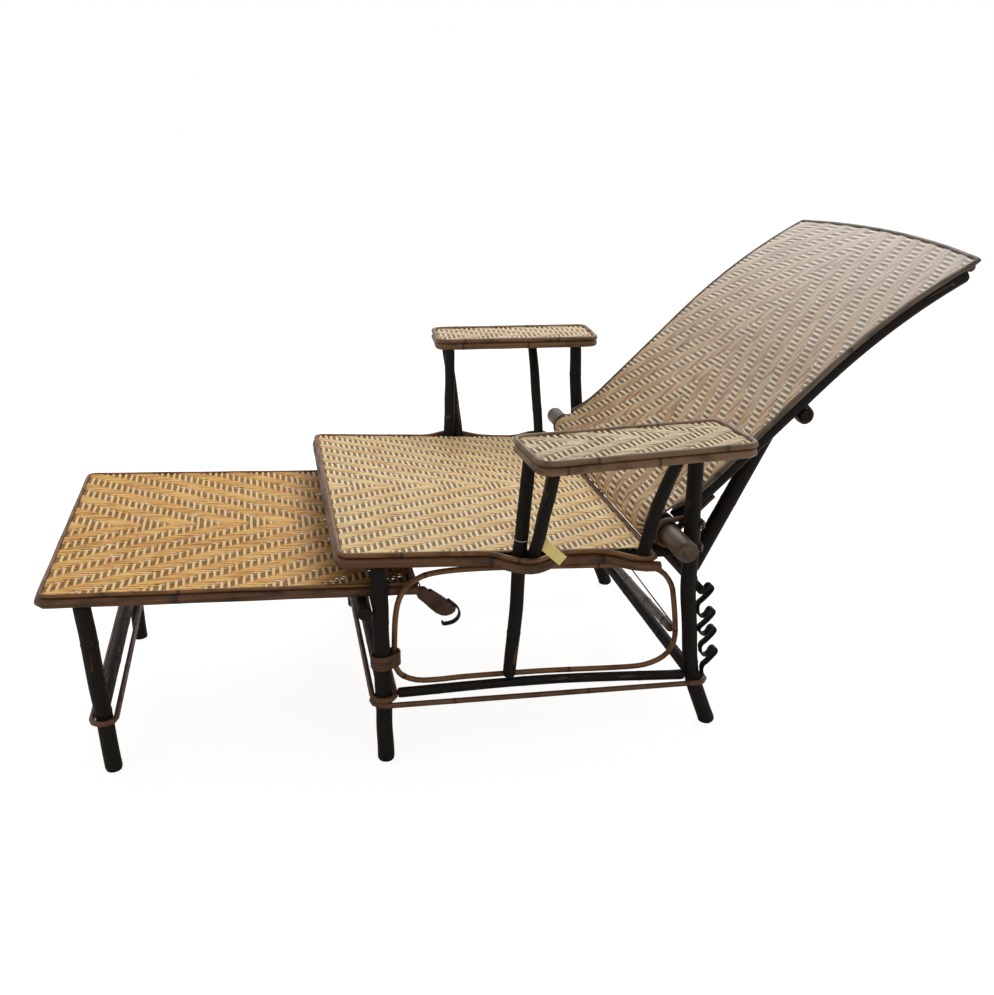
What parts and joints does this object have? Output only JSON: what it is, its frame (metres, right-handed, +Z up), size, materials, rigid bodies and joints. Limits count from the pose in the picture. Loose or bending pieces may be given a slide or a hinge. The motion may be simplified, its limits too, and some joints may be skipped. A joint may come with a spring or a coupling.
{
  "type": "reclining rattan long chair",
  "caption": "Long garden chair of bark-covered rattan sticks with woven cane panels, flat armrests, a reclining propped back on an iron rack and a sliding footrest",
  "frame": {"origin": "on the floor under the middle of the chair, measured over its whole length", "axes": "+X points from the foot end to the head end, +Y to the sitter's right, +Z up"},
  "size_m": [1.4249, 0.8912, 0.7711],
  "materials": {
    "weave": "herringbone of split cane strands, worn, satin",
    "bark_stick": "dark bark, satin with worn patches",
    "cane": "aged varnished cane",
    "bamboo": "pale bamboo with dark nodes",
    "iron": "dull black",
    "paper": "blank paper"
  },
  "bodies": {
    "frame": {"seat_mat": "weave", "seat_edge_cane": "cane", "seat_border_cane": "cane", "seat_side_bars": "bark_stick", "seat_cross_bars": "bark_stick", "seat_rear_rail": "bark_stick", "front_leg_left": "bark_stick", "front_leg_right": "bark_stick", "rear_leg_left": "bark_stick", "rear_leg_right": "bark_stick", "front_stretcher": "bark_stick", "rear_stretcher": "bark_stick", "side_stretcher_left": "bark_stick", "side_stretcher_right": "bark_stick", "front_wrap_cane": "cane", "side_wrap_canes": "cane", "side_loop_left": "cane", "side_loop_right": "cane", "leg_bands": "cane", "arm_post_left": "bark_stick", "arm_post_right": "bark_stick", "front_struts": "bark_stick", "rear_struts": "bark_stick", "arm_mat_left": "weave", "arm_mat_right": "weave", "arm_border_left": "cane", "arm_border_right": "cane", "arm_cross_bars": "bark_stick", "hinge_pole": "bamboo", "hinge_lashings": "cane", "rear_pole": "bamboo", "rear_thin_cane": "cane", "footrest_bearer": "bark_stick", "iron_rack_left": "iron", "iron_rack_right": "iron", "tag": "paper", "tag_wire": "iron"},
    "back": {"back_mat": "weave", "back_rail_left": "bark_stick", "back_rail_right": "bark_stick", "back_cross_bars": "bark_stick", "crest_bar": "bark_stick", "back_edge_cane": "cane", "hinge_straps": "cane", "rod_straps": "cane"},
    "prop": {"prop_rod": "bark_stick", "prop_legs": "bark_stick", "prop_foot_bar": "bark_stick", "prop_bindings": "cane"},
    "footrest": {"footrest_mat": "weave", "footrest_border_canes": "cane", "footrest_bars": "bark_stick", "footrest_leg_left": "bark_stick", "footrest_leg_right": "bark_stick", "footrest_stretcher": "bark_stick", "footrest_wrap_cane": "cane"},
    "catch_l": {"catch_left": "bark_stick", "catch_hook_left": "iron"},
    "catch_r": {"catch_right": "bark_stick", "catch_hook_right": "iron"}
  },
  "joints": [
    {"name": "back_tilt", "type": "hinge", "parent": "frame", "child": "back", "pos_m": [0.21543, 0, 0.355], "axis": [0, -1, 0], "range_deg": [0, 30]},
    {"name": "prop_swing", "type": "hinge", "parent": "back", "child": "prop", "pos_m": [0.43914, 0, 0.52166], "axis": [0, -1, 0], "range_deg": [-9, 0]},
    {"name": "footrest_slide", "type": "slide", "parent": "frame", "child": "footrest", "axis": [1, 0, 0], "range_m": [0, 0.345]},
    {"name": "catch_swing_left", "type": "hinge", "parent": "footrest", "child": "catch_l", "pos_m": [-0.17436, -0.243, 0.27791], "axis": [0, -1, 0], "range_deg": [-50, 25]},
    {"name": "catch_swing_right", "type": "hinge", "parent": "footrest", "child": "catch_r", "pos_m": [-0.17436, 0.243, 0.27791], "axis": [0, -1, 0], "range_deg": [-50, 25]}
  ],
  "couplings": [
    {"joint": "prop_swing", "follows": "back_tilt", "ratio": -0.29}
  ]
}
